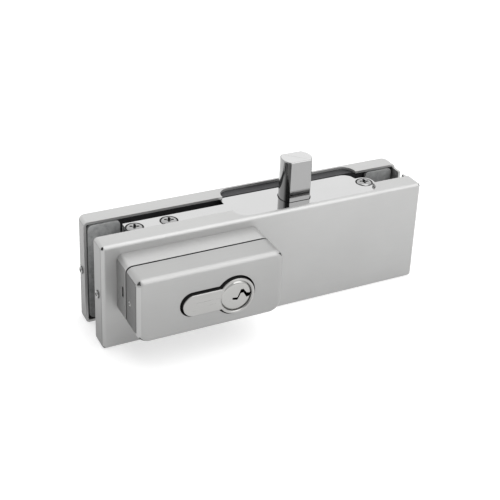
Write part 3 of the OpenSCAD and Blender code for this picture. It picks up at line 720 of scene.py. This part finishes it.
cover("front_sheet", -1)
cover("rear_sheet", 1)
for side, side_name in ((-1, "front"), (1, "rear")):
    for end, end_name in ((-1, "left"), (1, "right")):
        pad(f"{side_name}_{end_name}_pad", side, end)
end_screws()


# Lock case: top plate, screws and bolt


def bolt_outline(grow):
    """The bolt's section: a round bar with two flats."""
    radius, flat = BOLT_R + grow, BOLT_T / 2 + grow
    lean = math.degrees(math.asin(flat / radius))
    middle = (BOLT_X, AXIS_Y)
    return arc(middle, radius, -lean, lean, 24) + arc(middle, radius, 180 - lean, 180 + lean, 24)


def plate_outline():
    """The top plate's plan: a strip, a wide part, and a lobe round the right-hand screw."""
    front, back = AXIS_Y - STRIP_W / 2, AXIS_Y + STRIP_W / 2
    lobe_x = TOP_SCREWS_X[2]
    return ([(CASE_X0, front), (STEP_X, front), (STEP_X, PLATE_FRONT), (lobe_x + LOBE_R, PLATE_FRONT)]
            + arc((lobe_x, AXIS_Y), LOBE_R, 0, 90)
            + [(CASE_X1, AXIS_Y + LOBE_R)]
            + arc((CASE_X1 - PLATE_END_R, WIDE_BACK - PLATE_END_R), PLATE_END_R, 25, 90, 10)
            + arc((STEP_X + PLATE_STEP_R, WIDE_BACK - PLATE_STEP_R), PLATE_STEP_R, 90, 180, 8)
            + [(STEP_X, back), (CASE_X0, back)])


def in_seat(corners):
    """Whether a face of the top plate lies in the seat of a screw."""
    return min(p.z for p in corners) < LID_Z - SEAT_DARK_Z and any(
        all(math.hypot(p.x - x, p.y - AXIS_Y) < SEAT_DARK_R for p in corners) for x in TOP_SCREWS_X)


def top_plate():
    """The polished plate over the lock case, countersunk for its three screws."""
    piece = prism("lid", plate_outline(), DECK_Z, LID_Z, "z")
    cut(piece, prism("bolt way", bolt_outline(BOLT_PLAY), DECK_Z - PAST, LID_Z + PAST, "z"))
    for x in TOP_SCREWS_X:
        cut(piece, rod("seat", (x, AXIS_Y, LID_Z - SEAT_SINK), SEAT_R[0], SEAT_T, "z", 64, SEAT_R[1]))
        cut(piece, rod("hole", (x, AXIS_Y, DECK_Z), SCREW_HOLE_R, SCREW_HOLE_L, "z", 48))
    soften(piece, SHEET_EDGE)
    stand_for(piece, MIRROR, "case", "polished_steel", "top_plate")
    # Painted shade on the seats of the screws, below the plate's top.
    paint_light_and_shade(piece, SHADE_PAINT, in_seat)


def cross_screw(name, x):
    """The head of a countersunk cross-head screw, at the plate's level."""
    piece = rod(name, (x, AXIS_Y, LID_Z - HEAD_SINK), HEAD_R[0], HEAD_T, "z", 96, HEAD_R[1])
    choose(piece, "FACE", lambda corners: len(corners) > 4 and corners[0].z > LID_Z - HEAD_SINK)
    for ring, rise in HEAD_RINGS:
        bpy.ops.mesh.inset(thickness=ring * MM)
        bpy.ops.transform.translate(value=(0, 0, rise * MM))
    bpy.ops.object.mode_set(mode="OBJECT")
    wings = []
    for turn in (0, 90):
        wing = block("wing", (-CROSS_REACH, -CROSS_HALF, CROSS_Z[0]), (CROSS_REACH, CROSS_HALF, CROSS_Z[1]))
        work_on(wing)
        bpy.ops.object.mode_set(mode="EDIT")
        bpy.ops.mesh.select_all(action="SELECT")
        bpy.ops.transform.rotate(
            value=math.radians(turn + CROSS_TURN), orient_axis="Z", center_override=at(0, 0, 0))
        bpy.ops.transform.translate(value=at(x, AXIS_Y, LID_Z) - at(0, 0, 0))
        bpy.ops.object.mode_set(mode="OBJECT")
        wings.append(wing)
    cut(piece, *wings)
    cut(piece, rod("recess", (x, AXIS_Y, LID_Z - CROSS_CONE_SINK), CROSS_CONE_R[0], CROSS_CONE_L, "z", 24,
                   CROSS_CONE_R[1]))
    soften(piece, HEAD_EDGE)
    return piece


def top_screws():
    """The three screws that hold the top plate, each a head on a plain shank."""
    heads = [cross_screw(f"head_{i}", x) for i, x in enumerate(TOP_SCREWS_X)]
    shanks = [rod(f"shank_{i}", (x, AXIS_Y, SHANK_Z), SHANK_R, SHANK_L, "z", 32)
              for i, x in enumerate(TOP_SCREWS_X)]
    piece = join("lid_screws", *heads, *shanks)
    stand_for(piece, SCREW_CHROME, "case", "polished_steel", "top_plate_screws")
    # Painted shade in the cross recesses of the heads.
    paint_light_and_shade(piece, SHADE_PAINT, lambda corners: max(p.z for p in corners) < LID_Z + SLACK
                  and min(p.z for p in corners) < LID_Z - CROSS_DARK_Z
                  and all(min(abs(p.x - x) for x in TOP_SCREWS_X) < CROSS_DARK_R for p in corners))


def bolt():
    """The polished bolt: a round bar with two flats, a rounded end and a slot for its tail."""
    z0, z1 = BOLT_Z
    piece = rod("bolt_bar", (BOLT_X, AXIS_Y, (z0 + z1) / 2), BOLT_R, z1 - z0, "z", 128)
    reach = BOLT_R + PAST
    flats = block("flats", (BOLT_X - reach, AXIS_Y - BOLT_T / 2, z0 - PAST),
                  (BOLT_X + reach, AXIS_Y + BOLT_T / 2, z1 + PAST))
    cut(piece, flats, operation="INTERSECT")
    cut(piece, block("tail slot", (BOLT_X + TAIL_SLOT_X[0], AXIS_Y - TAIL_SLOT_T / 2, TAIL_SLOT_Z[0]),
                     (BOLT_X + TAIL_SLOT_X[1], AXIS_Y + TAIL_SLOT_T / 2, TAIL_SLOT_Z[1])))
    round_edges(piece, lambda ends: level(ends, 2, z1), BOLT_END_R, 4)
    soften(piece, BOLT_EDGE, 3)
    stand_for(piece, BOLT_STEEL, "bolt_set", "polished_steel", "bolt")
    # Painted light: the bolt's top end face takes the lighter copy of its steel.
    paint_light_and_shade(piece, LIT_BOLT_TOP, lambda corners: level(corners, 2, z1))


top_plate()
top_screws()
bolt()


# Housing and cylinder


def housing_layer(name, y0, y1, front_r, inset=0):
    """One layer of the housing between two depths, drawn in by the inset, with its corners rounded."""
    x0, x1 = HOUSING_X[0] + inset, HOUSING_X[1] - inset
    z0, z1 = HOUSING_Z[0] + inset, HOUSING_Z[1] - inset
    piece = block(name, (x0, y0, z0), (x1, y1, z1))
    round_edges(piece, lambda ends: level(ends, 2, z0) and level(ends, 0, ends[0].x),
                HOUSING_LOW_R - inset, 16)
    for x, radius in zip((x0, x1), HOUSING_TOP_R):
        if radius - inset > SHARP_R:
            round_edges(piece, lambda ends: level(ends, 2, z1) and level(ends, 0, x), radius - inset, 12)
    if front_r:
        round_edges(piece, lambda ends: level(ends, 1, y0), front_r, 8)
    return piece


def side_face(corners):
    """Whether a face of the housing looks to the left or the right."""
    return any(level(corners, 0, x, NEAR) for x in HOUSING_X)


def housing_base():
    """The layer of the housing that is screwed to the cover, with the rim that the cap slips over."""
    left = HOUSING_X[0]
    before_rim = BASE_Y - RIM_L - RIM_CLEAR
    inset = 2 * WALL + RIM_PLAY
    piece = housing_layer("housing_back", BASE_Y, -FACE_Y, 0)
    soften(piece, SHEET_EDGE)
    rim = housing_layer("rim", BASE_Y - RIM_L, BASE_Y + PAST, 0, WALL + RIM_PLAY)
    cut(rim, housing_layer("hollow", before_rim, BASE_Y + 2 * PAST, 0, inset))
    cut(piece, housing_layer("hollow", BASE_Y - PAST, -FACE_Y - BASE_FLOOR, 0, inset))
    cut(piece, rim, operation="UNION")
    cut(piece, profile_tool("cylinder way", PLAY, before_rim, -FACE_Y + PAST),
        block("slot", (left - PAST, SLOT_Y[0], SLOT_Z[0]), (left + SLOT_DEPTH, SLOT_Y[1], SLOT_Z[1])))
    soften(piece, 0)
    stand_for(piece, HOUSING_STEEL, "case", "housing_metal", "housing_base")
    # Painted shade: the base's side faces take the darker copy of the steel.
    paint_light_and_shade(piece, SHADED_SIDE_STEEL, side_face)
    # Painted shade on the base's front face in the joint with the cap, on the rim inside the cap and in the
    # slot in its side.
    paint_light_and_shade(piece, SHADE_PAINT, lambda corners: max(p.y for p in corners) < BASE_Y + SLACK or all(
        SLOT_Y[0] - SLOT_NEAR < p.y < SLOT_Y[1] + SLOT_NEAR
        and SLOT_Z[0] - SLOT_NEAR < p.z < SLOT_Z[1] + SLOT_NEAR for p in corners))


def housing_cap():
    """The front layer of the housing: a shell with its cut-out for the cylinder."""
    left, right = HOUSING_X
    low, high = HOUSING_Z
    piece = housing_layer("housing_front", CAP_Y, BASE_Y - CAP_BACK, CAP_FRONT_R)
    cut(piece, housing_layer("hollow", CAP_Y + WALL, BASE_Y + PAST, 0, WALL))
    cut(piece, profile_tool("cylinder cut-out", CUT_OUT_PLAY, CAP_Y - PAST, CAP_Y + WALL + PAST,
                            *CUT_OUT_SHIFT))
    cut(piece, *[rod("screw hole", (x, *CAP_SCREW), CAP_SCREW_HOLE_R, THROUGH, "x", 32)
                 for x in HOUSING_X])
    soften(piece, SHEET_EDGE)
    stand_for(piece, CAP_STEEL, "case", "cover_steel", "housing_cap")
    # Painted shade: the cap's side faces take the near-black copy of the steel.
    paint_light_and_shade(piece, SHADED_CAP_SIDE, side_face)
    # Painted highlight: the rounded front left edge of the cap, below its top, takes the lighter steel.
    paint_light_and_shade(piece, HIGHLIGHT_AND_SCREW_STEEL, lambda corners: all(
        p.x < left + HIGHLIGHT_X[1] and p.y < CAP_Y + HIGHLIGHT_Y and p.z < high - HIGHLIGHT_Z for p in corners)
        and max(p.x for p in corners) > left + HIGHLIGHT_X[0])
    # Painted reflection: a dark patch on the cap's front left top corner, in the near-black side steel.
    paint_light_and_shade(piece, SHADED_CAP_SIDE, lambda corners: all(
        p.x < left + DARK_REFLECTION_CORNER and p.y < CAP_Y + DARK_REFLECTION_CORNER and p.z > high - DARK_REFLECTION_CORNER
        for p in corners))
    # Painted shade on the inside of the cap, seen through the gap round the cylinder.
    paint_light_and_shade(piece, SHADE_PAINT, lambda corners: all(
        p.y > CAP_Y + INSIDE_Y and left + INSIDE < p.x < right - INSIDE
        and low + INSIDE < p.z < high - INSIDE for p in corners))


def cap_screws():
    """The grub screws in the sides of the cap."""
    pieces = []
    for side, face in zip((-1, 1), HOUSING_X):
        piece = rod("cap_screw", (face - side * WALL, *CAP_SCREW), CAP_SCREW_R, 2 * WALL, "x", 48)
        round_edges(piece, lambda ends: level(ends, 0, face), CAP_SCREW_TIP_R, 3)
        cut(piece, rod("recess", (face, *CAP_SCREW), CAP_HEX_R, CAP_HEX_L, "x", 6))
        soften(piece, CAP_SCREW_EDGE)
        pieces.append(piece)
    piece = join("cap_grub_screws", *pieces)
    stand_for(piece, HIGHLIGHT_AND_SCREW_STEEL, "case", "screw_steel", "cap_set_screws")
    # Painted shade in the hexagon recesses.
    paint_light_and_shade(piece, SHADE_PAINT, lambda corners: all(
        math.hypot(p.y - CAP_SCREW[0], p.z - CAP_SCREW[1]) < CAP_HEX_DARK_R for p in corners))


def cylinder():
    """The half profile cylinder's body: bores for plug, pins and cam, a bevelled mouth, and painted shade
    on its sides in the gap of the cap's cut-out.
    """
    piece = profile_tool("barrel", 0, CYL_Y, CYL_END_Y)
    tail_x = CYL_X - CYL_REACH
    round_edges(piece, lambda ends: level(ends, 1, CYL_Y), CYL_EDGE, 4)
    cut(piece, rod("plug bore", (CYL_X, PLUG_BORE_Y, CYL_Z), BORE_R, PLUG_BORE_L, "y", 96),
        rod("cam slot", (CYL_X, AXIS_Y, CYL_Z), CAM_SLOT_R, CAM_SLOT_W, "y", 96),
        *[rod("pin bore", (tail_x, y, CYL_Z), PIN_R, PIN_BORE_L, "x", 24) for y in PINS_Y])
    cut(piece, rod("fixing bore", (tail_x, AXIS_Y, CYL_Z), FIXING_R, FIXING_L, "x", 32))
    choose(piece, "EDGE", lambda ends: level(ends, 1, CYL_Y) and all(
        abs(math.hypot(p.x - CYL_X, p.z - CYL_Z) - BORE_R) < 2 * SLACK for p in ends))
    bpy.ops.mesh.bevel(offset=MOUTH * MM, segments=1, affect="EDGES")
    bpy.ops.object.mode_set(mode="OBJECT")
    # Cuts the body where the painted shade in the gap ends.
    choose(piece, "FACE", lambda corners: True)
    bpy.ops.mesh.bisect(plane_co=at(0, GAP_SHADE_Y[1], 0), plane_no=(0, 1, 0))
    bpy.ops.object.mode_set(mode="OBJECT")
    soften(piece, 0)
    stand_for(piece, NICKEL, "case", "nickel_brass", "cylinder_body")
    # Painted shade on the cylinder's sides within the gap of the cap's cut-out.
    paint_light_and_shade(piece, SHADE_PAINT, lambda corners: all(
        GAP_SHADE_Y[0] < p.y < GAP_SHADE_Y[1] + GAP_SHADE_NEAR
        and math.hypot(p.x - CYL_X, p.z - CYL_Z) > GAP_SHADE_R for p in corners))


def dome(piece):
    """Draws the plug's face out into a shallow dome."""
    choose(piece, "FACE", lambda corners: len(corners) > 4 and level(corners, 1, PLUG_FRONT_Y))
    for ring, rise in DOME_RINGS:
        bpy.ops.mesh.inset(thickness=ring * MM)
        bpy.ops.transform.translate(value=(0, -rise * MM, 0))
    bpy.ops.object.mode_set(mode="OBJECT")


def plug():
    """The turning plug with its domed face, zigzag key slot, neck and groove for the clip."""
    piece = rod("key_plug", (CYL_X, (PLUG_FRONT_Y + PLUG_END_Y) / 2, CYL_Z), PLUG_R - PLUG_PLAY,
                PLUG_END_Y - PLUG_FRONT_Y, "y", 128)
    round_edges(piece, lambda ends: level(ends, 1, PLUG_FRONT_Y), PLUG_RIM_R, 3)
    dome(piece)
    neck = rod("neck", (CYL_X, sum(NECK_Y) / 2, CYL_Z), NECK_R, NECK_Y[1] - NECK_Y[0], "y", 64)
    reach = NECK_R + PAST
    cut(neck, block("flats", (CYL_X - reach, NECK_FLATS_Y[0], CYL_Z - NECK_FLAT),
                    (CYL_X + reach, NECK_FLATS_Y[1], CYL_Z + NECK_FLAT)), operation="INTERSECT")
    cut(piece, neck, operation="UNION")
    groove = rod("groove", (CYL_X, GROOVE_Y, CYL_Z), GROOVE_R[1], GROOVE_W, "y", 64)
    cut(groove, rod("core", (CYL_X, GROOVE_Y, CYL_Z), GROOVE_R[0], SHORT, "y", 64))
    cut(piece, groove)
    outline = [(CYL_X + x, CYL_Z + z + half) for x, z, half in KEY_SLOT]
    outline += [(CYL_X + x, CYL_Z + z - half) for x, z, half in reversed(KEY_SLOT)]
    cut(piece, prism("key slot", outline, CYL_Y - PAST, KEY_SLOT_END_Y),
        *[rod("pin bore", (PLUG_PIN_X, y, CYL_Z), PIN_R, PLUG_PIN_L, "x", 24) for y in PINS_Y])
    soften(piece, PLUG_EDGE)
    stand_for(piece, PLUG_NICKEL, "key_plug", "nickel_brass", "cylinder_plug")
    # Painted shade inside the key slot.
    paint_light_and_shade(piece, SHADE_PAINT, lambda corners: min(p.y for p in corners) > PLUG_FRONT_Y - SLACK
                  and KEY_SLOT_DARK_Y[0] < max(p.y for p in corners) < KEY_SLOT_DARK_Y[1]
                  and any(math.hypot(p.x - CYL_X, p.z - CYL_Z) < KEY_SLOT_DARK_R for p in corners))


housing_base()
housing_cap()
cap_screws()
cylinder()
plug()


# Stage, lights and camera


def stage():
    """A plain white table."""
    bpy.ops.object.select_all(action="DESELECT")
    bpy.ops.mesh.primitive_plane_add(size=6, location=(0, 0, 0))
    floor = settle(bpy.context.object, "floor")
    paint = Finish("lit white table", (0.55, 0.55, 0.55), 0, 0.9)
    paint.tint(paint.noise(3, 2), (0.54, 0.54, 0.54), (0.56, 0.56, 0.56))
    paint.shader.inputs["Emission Color"].default_value = (1, 1, 1, 1)
    paint.shader.inputs["Emission Strength"].default_value = 0.54
    floor.data.materials.append(paint.material)


def soft_light(name, place, aim, size, power):
    """A large soft panel of light aimed at a point."""
    lamp = bpy.data.lights.new(name, "AREA")
    lamp.shape = "RECTANGLE"
    lamp.size, lamp.size_y = size
    lamp.energy = power
    holder = bpy.data.objects.new(name, lamp)
    bpy.context.scene.collection.objects.link(holder)
    holder.location = place
    holder.rotation_mode = "QUATERNION"
    holder.rotation_quaternion = (Vector(aim) - Vector(place)).to_track_quat("-Z", "Y")


def sky():
    """A white room, brighter behind the lock than in front, with one dark patch high at the front left."""
    world = bpy.data.worlds.new("white room")
    bpy.context.scene.world = world
    world.use_nodes = True
    nodes, links = world.node_tree.nodes, world.node_tree.links
    looking = nodes.new("ShaderNodeTexCoord").outputs["Generated"]
    shades = []
    for towards, start, stop, low, high in ROOM_SHADES:
        lean = nodes.new("ShaderNodeVectorMath")
        lean.operation = "DOT_PRODUCT"
        lean.inputs[1].default_value = towards
        links.new(looking, lean.inputs[0])
        reach = nodes.new("ShaderNodeMapRange")
        for name, value in (("From Min", start), ("From Max", stop), ("To Min", low), ("To Max", high)):
            reach.inputs[name].default_value = value
        links.new(lean.outputs["Value"], reach.inputs["Value"])
        shades.append(reach.outputs["Result"])
    product = nodes.new("ShaderNodeMath")
    product.operation = "MULTIPLY"
    links.new(shades[0], product.inputs[0])
    links.new(shades[1], product.inputs[1])
    links.new(product.outputs["Value"], nodes["Background"].inputs["Strength"])
    nodes["Background"].inputs["Color"].default_value = (1, 1, 1, 1)
    bpy.context.scene.view_settings.view_transform = "Standard"


def camera():
    """The photograph's viewpoint: a long lens, looking down from the left."""
    ahead = Vector((math.sin(TURN) * math.cos(TILT), math.cos(TURN) * math.cos(TILT), -math.sin(TILT)))
    level_right = Vector((math.cos(TURN), -math.sin(TURN), 0))
    level_down = ahead.cross(level_right)
    right = level_right * math.cos(ROLL) + level_down * math.sin(ROLL)
    down = level_down * math.cos(ROLL) - level_right * math.sin(ROLL)
    lens = bpy.data.cameras.new("camera")
    lens.lens = 77.651
    lens.sensor_width = 36
    lens.shift_y = -0.22
    eye = bpy.data.objects.new("camera", lens)
    bpy.context.scene.collection.objects.link(eye)
    axes = Matrix((right, -down, -ahead)).transposed().to_4x4()
    eye.matrix_world = Matrix.Translation(at(*EYE)) @ axes
    bpy.context.scene.camera = eye


stage()
sky()
soft_light("top panel", (0.1, -0.2, 1.1), (0, 0, 0), (1.2, 1.0), 5)
soft_light("front panel", (0.5, -0.8, 0.7), (0, 0, 0.02), (0.9, 0.9), 3.9)
camera()
